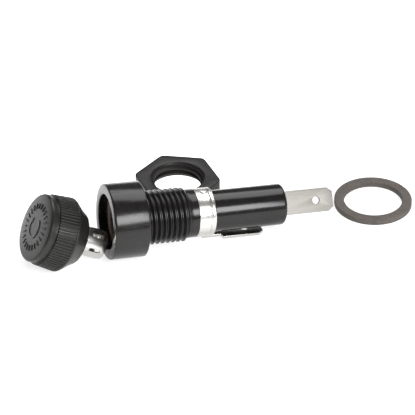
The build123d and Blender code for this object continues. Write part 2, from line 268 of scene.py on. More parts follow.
class StageSettings(bpy.types.PropertyGroup):
    """Camera and light."""

    camera_back: length("Camera ahead", "Camera from the ring's middle along X", -130.3)
    camera_side: length("Camera aside", "Camera from the ring's middle along Y", -508.0)
    camera_up: length("Camera height", "Camera above the ring's middle", 362.1)
    heading: angle("Camera heading", "Turn of the view from +Y", -17.28)
    drop: angle("Camera drop", "View below level", 34.32)
    lens: bpy.props.FloatProperty(name="Lens", description="Focal length", default=212.2, unit="CAMERA")
    # The floor glows, dimmest along a strip under the kit: a painted shadow that the polished pieces
    # reflect.
    shadow_strip_middle: length("Dim strip", "Middle of the floor's painted shadow strip along Y", -8.0)
    shadow_strip_half_width: length("Dim half width", "Half width of that strip", 10.0)
    shadow_strip_reach: length("Dim reach", "Where the floor is at its brightest", 27.0)
    sky: strength("Sky", "Even light from all round", 0.2)
    shadow_strip_glow: strength("Floor glow", "Glow of the painted shadow strip", 0.75)
    far_glow: strength("Far glow", "Glow of the floor away from it", 1.7)
    front_power: strength("Front light", "Soft box beside the camera", 9.0)
    left_power: strength("Left light", "Soft box facing the mouth", 0.7)
    top_power: strength("Top light", "Soft box above and behind", 9.0)


# ---- mesh helpers

def rounded(corners, steps=5):
    """Outline points of (radius, distance[, round]) corners, with each round as an arc."""
    points = []
    total = len(corners)
    for index, corner in enumerate(corners):
        here = Vector(corner[:2])
        reach = corner[2] if len(corner) > 2 else 0
        if not reach:
            points.append(here)
            continue
        before = (Vector(corners[index - 1][:2]) - here).normalized()
        after = (Vector(corners[(index + 1) % total][:2]) - here).normalized()
        half = before.angle(after) / 2
        centre = here + (before + after).normalized() * (reach / math.sin(half))
        start = here + before * (reach / math.tan(half)) - centre
        end = here + after * (reach / math.tan(half)) - centre
        sweep = start.angle_signed(end)
        for step in range(steps + 1):
            turn = Matrix.Rotation(-sweep * step / steps, 2)
            points.append(centre + turn @ start)
    return points


def lathe(corners, segments=128, steps=5):
    """Closed shell of revolution about Z as a bmesh."""
    shell = bmesh.new()
    rings = []
    for point in rounded(corners, steps):
        if point.x < SAME_POINT:
            rings.append([shell.verts.new((0, 0, point.y))])
            continue
        ring = []
        for step in range(segments):
            turn = math.tau * step / segments
            ring.append(shell.verts.new((point.x * math.cos(turn), point.x * math.sin(turn), point.y)))
        rings.append(ring)
    for index, ring in enumerate(rings):
        join_rings(shell, ring, rings[(index + 1) % len(rings)], segments)
    bmesh.ops.recalc_face_normals(shell, faces=shell.faces)
    return shell


def join_rings(shell, first, second, segments):
    """Faces between two rings of a lathe, either of which may be a single pole."""
    for step in range(segments):
        after = (step + 1) % segments
        if len(first) == 1 and len(second) == 1:
            return
        if len(first) == 1:
            shell.faces.new((first[0], second[step], second[after]))
        elif len(second) == 1:
            shell.faces.new((first[step], second[0], first[after]))
        else:
            shell.faces.new((first[step], second[step], second[after], first[after]))


def add_piece(name, shell, place, smooth=35.0):
    """A finished object from a bmesh, with its place in its mesh."""
    mesh = bpy.data.meshes.new(name)
    shell.transform(place)
    shell.to_mesh(mesh)
    shell.free()
    piece = bpy.data.objects.new(name, mesh)
    bpy.context.scene.collection.objects.link(piece)
    mesh.shade_smooth()
    mesh.set_sharp_from_angle(angle=math.radians(smooth))
    return piece


def merged(name, shells):
    """One bmesh from several."""
    whole = bmesh.new()
    for shell in shells:
        mesh = bpy.data.meshes.new(name)
        shell.to_mesh(mesh)
        shell.free()
        whole.from_mesh(mesh)
        bpy.data.meshes.remove(mesh)
    return whole


def plate(outlines, thickness, edge):
    """Flat plate in XY, centred on Z = 0, from closed outlines (the later ones are holes)."""
    curve = bpy.data.curves.new("plate outline", "CURVE")
    curve.dimensions = "2D"
    curve.fill_mode = "BOTH"
    curve.extrude = thickness / 2 - edge
    curve.bevel_depth = edge
    curve.bevel_resolution = 2
    curve.offset = -edge
    for outline in outlines:
        spline = curve.splines.new("POLY")
        spline.points.add(len(outline) - 1)
        for point, corner in zip(spline.points, outline):
            point.co = (corner[0], corner[1], 0, 1)
        spline.use_cyclic_u = True
    holder = bpy.data.objects.new("plate outline", curve)
    bpy.context.scene.collection.objects.link(holder)
    graph = bpy.context.evaluated_depsgraph_get()
    mesh = bpy.data.meshes.new_from_object(holder.evaluated_get(graph))
    shell = bmesh.new()
    shell.from_mesh(mesh)
    bmesh.ops.remove_doubles(shell, verts=shell.verts, dist=SAME_POINT)
    bmesh.ops.recalc_face_normals(shell, faces=shell.faces)
    bpy.data.objects.remove(holder)
    bpy.data.curves.remove(curve)
    bpy.data.meshes.remove(mesh)
    return shell


def circle(radius, steps=48, centre=(0, 0)):
    """Points of a circle in XY."""
    turns = [math.tau * step / steps for step in range(steps)]
    return [(centre[0] + radius * math.cos(t), centre[1] + radius * math.sin(t)) for t in turns]


def dress(piece, finish, body, slot, *replaced):
    """Material, body and replaced nodes of a finished piece; the slot argument is not used."""
    piece.data.materials.clear()
    piece.data.materials.append(bpy.data.materials[finish])
    if replaced:
        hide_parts(*replaced)
    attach(piece, body)


# ---- node helpers

class NodeBench:
    """Adds and links nodes in one tree."""

    def __init__(self, tree):
        self.tree = tree

    def node(self, kind, inputs=(), **settings):
        """New node with its settings made and its inputs fed, each by name or number."""
        made = self.tree.nodes.new(kind)
        for key, value in settings.items():
            setattr(made, key, value)
        for socket, value in dict(inputs).items():
            self.feed(made.inputs[socket], value)
        return made

    def feed(self, socket, value):
        if isinstance(value, bpy.types.NodeSocket):
            self.tree.links.new(value, socket)
        else:
            socket.default_value = value

    def math(self, operation, *values, clamp=False):
        made = self.node("ShaderNodeMath", dict(enumerate(values)), operation=operation, use_clamp=clamp)
        return made.outputs[0]

    def point(self, **axes):
        return self.node("ShaderNodeCombineXYZ", axes).outputs[0]


def object_grain(bench, place, scale, stretch=(1, 1, 1), detail=4.0):
    """Noise in a piece's own directions; stretch gives brushed or drawn grain."""
    turned = bench.node("ShaderNodeMapping", {
        "Location": place.to_translation(), "Rotation": place.to_euler(),
        "Vector": bench.node("ShaderNodeTexCoord").outputs["Object"],
    }, vector_type="TEXTURE")
    spread = bench.node("ShaderNodeMapping", {"Scale": stretch, "Vector": turned.outputs["Vector"]})
    return bench.node("ShaderNodeTexNoise", {
        "Scale": scale, "Detail": detail, "Roughness": 0.55, "Vector": spread.outputs["Vector"],
    }).outputs["Fac"]


def spread_between(bench, value, low_in, high_in, low_out, high_out):
    """Map Range on one value."""
    ends = {"From Min": low_in, "From Max": high_in, "To Min": low_out, "To Max": high_out}
    return bench.node("ShaderNodeMapRange", {"Value": value, **ends}).outputs["Result"]


def blend_colours(bench, share, first, second):
    """Colour between two by a share."""
    ends = {6: (*first, 1), 7: (*second, 1)}
    return bench.node("ShaderNodeMix", {"Factor": share, **ends}, data_type="RGBA").outputs[2]


def brighter(value, share):
    return tuple(min(1.0, part * share) for part in value)


def surface(name, place, base, tone=(0.8, 1.3), roughness=(0.2, 0.3), metal=0.0, grain=900.0,
            stretch=(1, 1, 1), bump=0.05, bump_grain=4000.0, specular=0.5, coat=0.0, coat_roughness=0.05,
            marks=0.0):
    """One finish: clouded colour, uneven roughness, fine grain in the bump and thin rubbed marks."""
    material = bpy.data.materials.new(name)
    material.use_nodes = True
    material.node_tree.nodes.clear()
    bench = NodeBench(material.node_tree)
    clouds = object_grain(bench, place, grain / 6, detail=3.0)
    fine = object_grain(bench, place, grain, stretch)
    mixed = bench.math("MULTIPLY_ADD", fine, 0.5, bench.math("MULTIPLY", clouds, 0.5))
    share = spread_between(bench, mixed, 0.35, 0.65, 0.0, 1.0)
    rubbed = object_grain(bench, place, grain / 2, (stretch[0] * 3, stretch[1] * 3, stretch[2] / 3), 2.0)
    scuffs = spread_between(bench, rubbed, 0.62, 0.70, 0.0, marks)
    even = spread_between(bench, mixed, 0.3, 0.7, *roughness)
    height = object_grain(bench, place, bump_grain, stretch, 5.0)
    relief = bench.node("ShaderNodeBump", {
        "Strength": bump, "Distance": RELIEF, "Height": bench.math("MULTIPLY_ADD", scuffs, -0.6, height),
    })
    shader = bench.node("ShaderNodeBsdfPrincipled", {
        "Metallic": metal, "Specular IOR Level": specular,
        "Coat Weight": coat, "Coat Roughness": coat_roughness,
        "Base Color": blend_colours(bench, share, brighter(base, tone[0]), brighter(base, tone[1])),
        "Roughness": bench.math("ADD", even, scuffs, clamp=True), "Normal": relief.outputs["Normal"],
    })
    bench.node("ShaderNodeOutputMaterial", {"Surface": shader.outputs["BSDF"]})
    return material


def make_finishes(scene):
    tints = scene.fuse_finishes
    holder = holder_matrix(scene.fuse_holder)
    knob = knob_matrix()
    nut = flat_matrix("panel_nut")
    gasket = flat_matrix("panel_gasket")
    along = (1, 1, 0.12)
    surface("gloss black moulding", holder, tints.gloss_black, (0.85, 1.4), (0.17, 0.24), grain=700,
            bump=0.05, bump_grain=2600, specular=0.28, marks=0.12)
    surface("polished front ring", holder, tints.gloss_black, (0.85, 1.4), (0.22, 0.30), grain=700,
            bump=0.05, bump_grain=2600, specular=0.5, coat=0.7, coat_roughness=0.2, marks=0.12)
    surface("gloss black tube", holder, tints.gloss_black, (0.85, 1.4), (0.15, 0.21), grain=600,
            stretch=along, bump=0.05, bump_grain=1800, specular=0.28, marks=0.10)
    # Lighter copy of the black moulding for the mouth's inner faces: painted light in the shaded recess.
    surface("mouth moulding", holder, tints.mouth, (0.8, 1.3), (0.42, 0.55), grain=700, bump=0.1,
            bump_grain=3000, specular=0.4)
    surface("satin thread", holder, tints.gloss_black, (0.9, 1.6), (0.26, 0.36), grain=900, bump=0.10,
            bump_grain=5200, specular=0.25, marks=0.1)
    surface("satin knob moulding", knob, tints.satin_black, (0.85, 1.25), (0.28, 0.38), grain=800,
            bump=0.12, bump_grain=6500, specular=0.27, marks=0.08)
    surface("matt nut moulding", nut, tints.nut_black, (0.8, 1.5), (0.36, 0.48), grain=500, bump=0.14,
            bump_grain=5000, specular=0.30, marks=0.1)
    surface("dull rubber", gasket, tints.rubber, (0.72, 1.25), (0.62, 0.78), grain=1500, bump=0.28,
            bump_grain=4200, specular=0.35)
    surface("bright tin plate", holder, tints.bright_tin, (0.90, 1.06), (0.24, 0.32), 1.0, 1200,
            (1, 1, 0.3), 0.015, 3500, marks=0.06)
    surface("bright tin shell", knob, tints.bright_tin, (0.86, 1.05), (0.24, 0.34), 1.0, 1200,
            along, 0.05, 3500, marks=0.15)
    # Darker, browner, half-metal tin for the lock ring and sleeve: painted shade inside the mouth.
    surface("shaded tin plate", holder, tints.shaded_tin, (0.8, 1.1), (0.5, 0.62), 0.5, 1200,
            (1, 1, 0.5), 0.08, 3000)
    surface("dull tin plate", holder, tints.dull_tin, (0.82, 1.12), (0.50, 0.60), 1.0, 1500,
            along, 0.14, 3500, marks=0.15)
    surface("plain brass", holder, tints.brass, (0.8, 1.15), (0.2, 0.32), 1.0, 900, (1, 1, 1), 0.06, 3000)
    surface("drawn wire", holder, tints.steel, (0.8, 1.15), (0.22, 0.34), 1.0, 900, (1, 1, 1), 0.05, 3000)
    surface("matt plug moulding", holder, tints.nut_black, (0.8, 1.5), (0.45, 0.6), grain=900, bump=0.15,
            bump_grain=5000, specular=0.4)


# ---- geometry node trees

def node_group(name, inputs):
    """Empty geometry tree with named inputs; each is (name, socket type, default)."""
    tree = bpy.data.node_groups.new(name, "GeometryNodeTree")
    tree.interface.new_socket("Geometry", in_out="OUTPUT", socket_type="NodeSocketGeometry")
    for label, kind, default in inputs:
        socket = tree.interface.new_socket(label, in_out="INPUT", socket_type=kind)
        if default is not None:
            socket.default_value = default
    bench = NodeBench(tree)
    return tree, bench, bench.node("NodeGroupInput").outputs, bench.node("NodeGroupOutput").inputs[0]


def finish_tree(bench, geometry, material, output):
    """Realize Instances and Set Material at the end of a tree."""
    realized = bench.node("GeometryNodeRealizeInstances", {0: geometry})
    painted = bench.node("GeometryNodeSetMaterial", {"Geometry": realized.outputs[0], "Material": material})
    bench.feed(output, painted.outputs[0])


def grown(name, tree, values):
    """Mesh that a geometry tree grows from the named values."""
    seed = bpy.data.objects.new(name, bpy.data.meshes.new(name))
    bpy.context.scene.collection.objects.link(seed)
    modifier = seed.modifiers.new(name, "NODES")
    modifier.node_group = tree
    for item in tree.interface.items_tree:
        if item.item_type == "SOCKET" and item.in_out == "INPUT":
            modifier[item.identifier] = values[item.name]
    graph = bpy.context.evaluated_depsgraph_get()
    mesh = bpy.data.meshes.new_from_object(seed.evaluated_get(graph))
    seed.modifiers.remove(modifier)
    bpy.data.objects.remove(seed)
    shell = bmesh.new()
    shell.from_mesh(mesh)
    bmesh.ops.recalc_face_normals(shell, faces=shell.faces)
    bpy.data.meshes.remove(mesh)
    return shell


def thread_tree():
    """Helical thread as a closed sleeve: rows that climb one pitch a turn, then an inner wall."""
    tree, bench, given, output = node_group("helical thread", (
        ("Root Radius", "NodeSocketFloat", 0.007), ("Crest Radius", "NodeSocketFloat", 0.008),
        ("Back Radius", "NodeSocketFloat", 0.0065), ("Pitch", "NodeSocketFloat", 0.0014),
        ("Start", "NodeSocketFloat", 0.0), ("End", "NodeSocketFloat", 0.01),
        ("Turns", "NodeSocketInt", 8), ("Segments", "NodeSocketInt", 96),
        ("Material", "NodeSocketMaterial", None),
    ))
    rows = bench.math("MULTIPLY_ADD", given["Turns"], THREAD_ROWS, 2.0)
    grid = bench.node("GeometryNodeMeshGrid", {
        "Size X": 1.0, "Size Y": 1.0,
        "Vertices X": bench.math("ADD", given["Segments"], 1.0), "Vertices Y": bench.math("ADD", rows, 1.0),
    })
    spot = bench.node("ShaderNodeSeparateXYZ", {0: bench.node("GeometryNodeInputPosition").outputs[0]})
    around = bench.math("ADD", spot.outputs["X"], 0.5)
    row = bench.math("ROUND", bench.math("MULTIPLY", bench.math("ADD", spot.outputs["Y"], 0.5), rows))
    turns = bench.math("DIVIDE", bench.math("SUBTRACT", row, 1.0), THREAD_ROWS)
    climbed = bench.math("SUBTRACT", bench.math("ADD", turns, around), 1.0)
    raw = bench.math("MULTIPLY_ADD", climbed, given["Pitch"], given["Start"])
    height = bench.math("MINIMUM", bench.math("MAXIMUM", raw, given["Start"]), given["End"])
    wave = bench.math("PINGPONG", turns, 0.5)
    flat = 1 / THREAD_ROWS
    tooth = bench.math("DIVIDE", bench.math("SUBTRACT", wave, flat), 0.5 - 2 * flat, clamp=True)
    from_start = bench.math("SUBTRACT", raw, given["Start"])
    to_end = bench.math("SUBTRACT", given["End"], raw)
    near = bench.math("DIVIDE", bench.math("MINIMUM", from_start, to_end), given["Pitch"], clamp=True)
    rise = bench.math("MULTIPLY", tooth, bench.math("MULTIPLY", near, 1.6, clamp=True))
    depth = bench.math("SUBTRACT", given["Crest Radius"], given["Root Radius"])
    front = bench.math("MULTIPLY_ADD", rise, depth, given["Root Radius"])
    first = bench.math("LESS_THAN", row, 0.5)
    last = bench.math("GREATER_THAN", row, bench.math("SUBTRACT", rows, 0.5))
    late = bench.math("GREATER_THAN", row, bench.math("SUBTRACT", rows, 1.5))
    back = bench.math("MAXIMUM", first, late)
    at_start = bench.math("MAXIMUM", first, last)
    radius = mix_numbers(bench, back, front, given["Back Radius"])
    place = mix_numbers(bench, late, height, given["End"])
    place = mix_numbers(bench, at_start, place, given["Start"])
    turn = bench.math("MULTIPLY", around, math.tau)
    across = bench.math("MULTIPLY", radius, bench.math("COSINE", turn))
    up = bench.math("MULTIPLY", radius, bench.math("SINE", turn))
    moved = bench.node("GeometryNodeSetPosition", {
        "Geometry": grid.outputs["Mesh"], "Position": bench.point(X=across, Y=up, Z=place),
    })
    joined = bench.node("GeometryNodeMergeByDistance", {"Distance": SEAM, "Geometry": moved.outputs[0]})
    finish_tree(bench, joined.outputs[0], given["Material"], output)
    return tree


def mix_numbers(bench, share, first, second):
    """first where share is 0, second where it is 1."""
    return bench.math("MULTIPLY_ADD", share, bench.math("SUBTRACT", second, first), first)


def rib_tree():
    """Equal ribs round an axis, each a thin bar from a front point to a rear point."""
    tree, bench, given, output = node_group("ribs round an axis", (
        ("Count", "NodeSocketInt", 60), ("Front Radius", "NodeSocketFloat", 0.01),
        ("Rear Radius", "NodeSocketFloat", 0.01), ("Front", "NodeSocketFloat", 0.0),
        ("Rear", "NodeSocketFloat", 0.005), ("Half Width", "NodeSocketFloat", 0.0003),
        ("Sides", "NodeSocketInt", 8), ("Material", "NodeSocketMaterial", None),
    ))
    line = bench.node("GeometryNodeCurvePrimitiveLine", {
        "Start": bench.point(X=given["Front Radius"], Z=given["Front"]),
        "End": bench.point(X=given["Rear Radius"], Z=given["Rear"]),
    })
    ring = bench.node("GeometryNodeCurvePrimitiveCircle", {
        "Resolution": given["Sides"], "Radius": given["Half Width"],
    })
    bar = bench.node("GeometryNodeCurveToMesh", {
        "Curve": line.outputs[0], "Profile Curve": ring.outputs[0], "Fill Caps": True,
    })
    points = bench.node("GeometryNodePoints", {"Count": given["Count"]})
    index = bench.node("GeometryNodeInputIndex").outputs[0]
    turn = bench.math("DIVIDE", bench.math("MULTIPLY", index, math.tau), given["Count"])
    placed = bench.node("GeometryNodeInstanceOnPoints", {
        "Points": points.outputs[0], "Instance": bar.outputs[0], "Rotation": bench.point(Z=turn),
    })
    finish_tree(bench, placed.outputs[0], given["Material"], output)
    return tree


# ---- places along the holder

def holder_places(sizes):
    """Distances along the holder's axis that several pieces share."""
    places = {"lock shelf": sizes.lock_ring_front + sizes.lock_ring_thickness}
    places["throat"] = places["lock shelf"] + sizes.chamber_length
    places["thread end"] = sizes.collar_length + sizes.thread_length
    places["neck end"] = places["thread end"] + sizes.neck_length
    places["ring end"] = places["neck end"] + sizes.ring_length
    places["tube end"] = places["ring end"] + sizes.tube_length
    return places


class FUSE_OT_front_housing(bpy.types.Operator):
    """Moulded collar, neck and threaded length with the stepped mouth"""

    bl_idname = "fuse.front_housing"
    bl_label = "Front housing"

    def execute(self, context):
        s = context.scene.fuse_holder
        at = holder_places(s)
        root = s.thread_radius - s.thread_depth
        spigot_end = at["ring end"] - s.ring_lip - GAP
        body = lathe((
            (s.mouth_radius, 0, 0.22 * MM),
            (s.collar_radius, 0, s.collar_round),
            (s.collar_radius, s.collar_length, 0.3 * MM),
            (root, s.collar_length),
            (root, at["thread end"] - s.thread_relief, SOFT),
            (s.neck_radius, at["thread end"], SOFT),
            (s.neck_radius, at["neck end"]),
            (s.ring_bore - GAP, at["neck end"]),
            (s.ring_bore - GAP, spigot_end),
            (s.sleeve_radius + GAP, spigot_end),
            (s.sleeve_radius + GAP, at["throat"]),
            (s.chamber_radius, at["throat"], SOFT),
            (s.chamber_radius, at["lock shelf"]),
            (s.mouth_radius, at["lock shelf"]),
        ), segments=160)
        # Faces inside the mouth get the lighter painted-light colour; the front face gets the coated ring
        # finish.
        for face in body.faces:
            middle = face.calc_center_median()
            inside = middle.xy.length < s.mouth_radius + 0.01 * MM
            if middle.z < GAP:
                face.material_index = 2
            elif inside and s.collar_round / 2 < middle.z <= s.collar_length:
                face.material_index = 1
        piece = add_piece("front_housing_shell", body, holder_matrix(s))
        dress(piece, "gloss black moulding", "holder", "black_gloss", "front_housing")
        for finish in ("mouth moulding", "polished front ring"):
            piece.data.materials.append(bpy.data.materials[finish])
        thread = grown("thread", thread_tree(), {
            "Root Radius": root + 0.01 * MM, "Crest Radius": s.thread_radius,
            "Back Radius": root - THREAD_BACK, "Pitch": s.thread_pitch,
            "Start": s.collar_length - 0.15 * MM, "End": at["thread end"] - 0.45 * MM,
            "Turns": math.ceil(s.thread_length / s.thread_pitch) + 2, "Segments": 120,
            "Material": bpy.data.materials["satin thread"],
        })
        piece = add_piece("body_thread", thread, holder_matrix(s), 25.0)
        dress(piece, "satin thread", "holder", "black_gloss", "front_housing")
        return {"FINISHED"}


class FUSE_OT_mouth_metal(bpy.types.Operator):
    """Lock ring and contact sleeve inside the mouth"""

    bl_idname = "fuse.mouth_metal"
    bl_label = "Lock ring and sleeve"

    def execute(self, context):
        s = context.scene.fuse_holder
        knob = context.scene.fuse_knob
        at = holder_places(s)
        place = holder_matrix(s)
        outline = []
        steps = 144
        for step in range(steps):
            turn = math.tau * step / steps
            off = math.sin(turn - knob.lug_turn) * s.lug_notch_reach
            reach = s.lug_notch_reach if abs(off) < s.lug_notch_width / 2 else s.lock_ring_bore
            outline.append((reach * math.cos(turn), reach * math.sin(turn)))
        rim = circle(s.mouth_radius - SLIP, 128)
        ring = plate((rim, outline), s.lock_ring_thickness, SHEET_EDGE)
        middle = s.lock_ring_front + s.lock_ring_thickness / 2
        piece = add_piece("lock_ring_plate", ring, place @ Matrix.Translation((0, 0, middle)))
        dress(piece, "shaded tin plate", "holder", "tin_plate", "lock_ring")
        sleeve = lathe((
            (s.sleeve_bore, at["throat"] - s.sleeve_flange_sheet, 0.3 * MM),
            (s.sleeve_flange, at["throat"] - s.sleeve_flange_sheet, 0.15 * MM),
            (s.sleeve_flange, at["throat"]),
            (s.sleeve_radius, at["throat"]),
            (s.sleeve_radius, at["ring end"] - s.sleeve_setback),
            (s.sleeve_bore, at["ring end"] - s.sleeve_setback),
        ))
        piece = add_piece("contact_sleeve_tube", sleeve, place)
        dress(piece, "shaded tin plate", "holder", "tin_plate", "contact_sleeve")
        return {"FINISHED"}


def tab_outline(sizes, root, end):
    """Outline of a quick-connect tab with cut corners, and its hole, along +X."""
    half = sizes.blade_width / 2
    cut = sizes.blade_cut
    outline = (
        (root, -half), (end - 1.3 * cut, -half), (end, -half + cut),
        (end, half - cut), (end - 1.3 * cut, half), (root, half),
    )
    return outline, circle(sizes.blade_hole, 40, (end - sizes.blade_hole_setback, 0))


class FUSE_OT_side_terminal(bpy.types.Operator):
    """Metal ring with its rolled lip, the side blade and the link rivet"""

    bl_idname = "fuse.side_terminal"
    bl_label = "Side terminal"

    def execute(self, context):
        s = context.scene.fuse_holder
        at = holder_places(s)
        place = holder_matrix(s)
        lip = at["ring end"] - s.ring_lip
        bead = s.ring_bead
        ring = lathe((
            (s.ring_bore, at["neck end"]),
            (s.ring_radius, at["neck end"], SOFT),
            (s.ring_radius, lip - 4.4 * bead, SOFT),
            (s.ring_radius - bead, lip - 3.2 * bead, 0.15 * MM),
            (s.ring_radius, lip - 2 * bead, SOFT),
            (s.ring_radius, at["ring end"], 0.4 * MM),
            (s.socket_radius + GAP, at["ring end"], 0.1 * MM),
            (s.socket_radius + GAP, lip),
            (s.ring_bore, lip),
        ), segments=160)
        blade_end = at["ring end"] + s.side_blade_length
        outline, hole = tab_outline(s, at["ring end"] + s.side_neck_length, blade_end)
        half_neck = s.side_neck_width / 2
        foot = at["ring end"] - s.side_blade_overlap
        shoulder = outline[0][0] - s.blade_shoulder
        neck = ((foot, half_neck), (foot, -half_neck), (shoulder, -half_neck))
        tab = plate((neck + outline + ((shoulder, half_neck),), hole), s.blade_thickness, SHEET_EDGE)
        lay = Matrix.Translation((-(s.side_blade_radius - s.blade_thickness / 2), 0, 0)) @ Matrix(
            ((0, 0, 1, 0), (0, 1, 0, 0), (1, 0, 0, 0), (0, 0, 0, 1)))
        tab.transform(lay)
        bmesh.ops.recalc_face_normals(tab, faces=tab.faces)
        piece = add_piece("side_terminal_ring", merged("side terminal", (ring, tab)), place)
        dress(piece, "bright tin plate", "holder", "tin_plate", "side_terminal")
        rivet_place = at["neck end"] + s.ring_length / 2
        rivet = lathe((
            (0, -2.0 * MM), (s.rivet_radius, -2.0 * MM), (s.rivet_radius, -0.1 * MM),
            (s.rivet_head_radius, -0.1 * MM), (s.rivet_head_radius, 0.3 * MM, 0.28 * MM), (0, 0.34 * MM),
        ), segments=40)
        stand = Matrix.Translation((s.ring_radius, 0, rivet_place)) @ Matrix.Rotation(math.pi / 2, 4, "Y")
        piece = add_piece("link_rivet_head", rivet, place @ stand)
        dress(piece, "bright tin plate", "holder", "tin_plate", "link_rivet")
        return {"FINISHED"}


class FUSE_OT_rear_tube(bpy.types.Operator):
    """Glossy rear tube with its end plug and the rear blade"""

    bl_idname = "fuse.rear_tube"
    bl_label = "Rear tube and blade"

    def execute(self, context):
        s = context.scene.fuse_holder
        at = holder_places(s)
        place = holder_matrix(s)
        tube = lathe((
            (s.sleeve_radius + GAP, at["ring end"] - s.socket_length),
            (s.socket_radius, at["ring end"] - s.socket_length),
            (s.socket_radius, at["ring end"] + GAP),
            (s.tube_radius, at["ring end"] + GAP, SOFT),
            (s.tube_radius, at["tube end"], s.tube_round),
            (s.tube_bore, at["tube end"], 0.12 * MM),
            (s.tube_bore, at["tube end"] - s.tube_bore_depth),
            (s.sleeve_radius + GAP, at["tube end"] - s.tube_bore_depth),
        ), segments=128, steps=8)
        piece = add_piece("rear_tube_shell", tube, place)
        dress(piece, "gloss black tube", "holder", "black_gloss", "rear_tube")
        plug_end = at["tube end"] - s.plug_inset
        plug = lathe((
            (0, plug_end - s.plug_length), (s.tube_bore - SLIP, plug_end - s.plug_length),
            (s.tube_bore - SLIP, plug_end, 0.15 * MM), (0, plug_end),
        ))
        piece = add_piece("end_plug_disc", plug, place)
        dress(piece, "matt plug moulding", "holder", "fibre_black", "end_plug")
        outline, hole = tab_outline(s, plug_end - s.blade_grip, at["tube end"] + s.rear_blade_length)
        tab = plate((outline, hole), s.blade_thickness, SHEET_EDGE)
        lay = Matrix.Rotation(-s.rear_blade_lean, 4, "Z") @ Matrix(
            ((0, 1, 0, 0), (0, 0, 1, 0), (1, 0, 0, 0), (0, 0, 0, 1)))
        piece = add_piece("rear_blade_tab", tab, place @ lay)
        dress(piece, "dull tin plate", "holder", "tin_matte", "rear_blade")
        return {"FINISHED"}


class FUSE_OT_knob(bpy.types.Operator):
    """Knob moulding with its smooth band, ribbed skirt and tapered rear, and the marked face"""

    bl_idname = "fuse.knob"
    bl_label = "Knob"

    def execute(self, context):
        s = context.scene.fuse_knob
        place = knob_matrix()
        root_front = s.knurl_front_radius - s.knurl_depth
        root_rear = s.skirt_radius - s.knurl_depth
        core = lathe((
            (0, s.face_thickness), (s.band_radius, s.face_thickness),
            (s.band_radius, s.knurl_start, 0.12 * MM),
            (root_front, s.knurl_start, 0.1 * MM), (root_rear, s.knurl_end - 0.1 * MM),
            (s.skirt_radius, s.knurl_end, 0.1 * MM), (s.skirt_radius, s.skirt_edge, 0.25 * MM),
            (s.rim_radius + 0.9 * MM, s.knob_length - 1.5 * MM, 1.2 * MM),
            (s.rim_radius, s.knob_length, 0.5 * MM), (s.shell_radius + GAP, s.knob_length, SOFT),
            (s.shell_radius + GAP, s.socket_floor), (0, s.socket_floor),
        ), segments=180)
        piece = add_piece("knob_cap_body", core, place)
        dress(piece, "satin knob moulding", "knob", "knob_satin", "knob_cap")
        half = math.pi * s.skirt_radius / s.knurl_count * 0.62
        ribs = grown("ribs", rib_tree(), {
            "Count": s.knurl_count, "Front Radius": s.knurl_front_radius - half,
            "Rear Radius": s.skirt_radius - half, "Front": s.knurl_start + GAP,
            "Rear": s.knurl_end + GAP, "Half Width": half, "Sides": 10,
            "Material": bpy.data.materials["satin knob moulding"],
        })
        piece = add_piece("knob_ribs", ribs, place, 50.0)
        dress(piece, "satin knob moulding", "knob", "knob_satin", "knob_cap")
        self.face(s, place)
        return {"FINISHED"}

    def face(self, s, place):
        """Domed disc with a row of short raised bars and a turning arrow."""
        dome = s.face_dome
        disc = lathe((
            (0, -dome), (s.face_radius * 0.30, -dome * 0.96), (s.face_radius * 0.55, -dome * 0.82),
            (s.face_radius * 0.80, -dome * 0.52), (s.face_radius - 0.32 * MM, -dome * 0.1, 0.4 * MM),
            (s.face_radius, 0.45 * MM, SOFT), (s.face_radius, s.face_thickness),
            (0, s.face_thickness),
        ), segments=160, steps=8)
        piece = add_piece("knob_face_disc", disc, place, 60.0)
        dress(piece, "satin knob moulding", "knob", "knob_satin", "knob_face")
        ticks = grown("ticks", rib_tree(), {
            "Count": s.tick_count, "Front Radius": s.face_radius * 0.54,
            "Rear Radius": s.face_radius * 0.70, "Front": -dome * 0.83, "Rear": -dome * 0.62,
            "Half Width": s.tick_width / 2, "Sides": 8,
            "Material": bpy.data.materials["satin knob moulding"],
        })
        marks = merged("marks", (ticks, self.turning_mark(s)))
        piece = add_piece("knob_face_marks", marks, place, 50.0)
        dress(piece, "satin knob moulding", "knob", "knob_satin", "knob_face")

    def turning_mark(self, s):
        """Raised arc with an arrow head, plain sign for the turning direction."""
        outer = s.face_radius * 0.34
        inner = s.face_radius * 0.26
        middle = (outer + inner) / 2
        spread = (outer - inner) * 1.1
        turns = [math.radians(20 + 250 * step / 24) for step in range(25)]
        tip = turns[-1] + math.radians(34)
        head = ((middle + spread, turns[-1]), (middle, tip), (middle - spread, turns[-1]))
        spots = [(outer, t) for t in turns] + list(head) + [(inner, t) for t in reversed(turns)]
        outline = [(radius * math.cos(t), radius * math.sin(t)) for radius, t in spots]
        mark = plate((outline,), 0.3 * MM, 0.06 * MM)
        mark.transform(Matrix.Translation((0, 0, -s.face_dome)))
        return mark


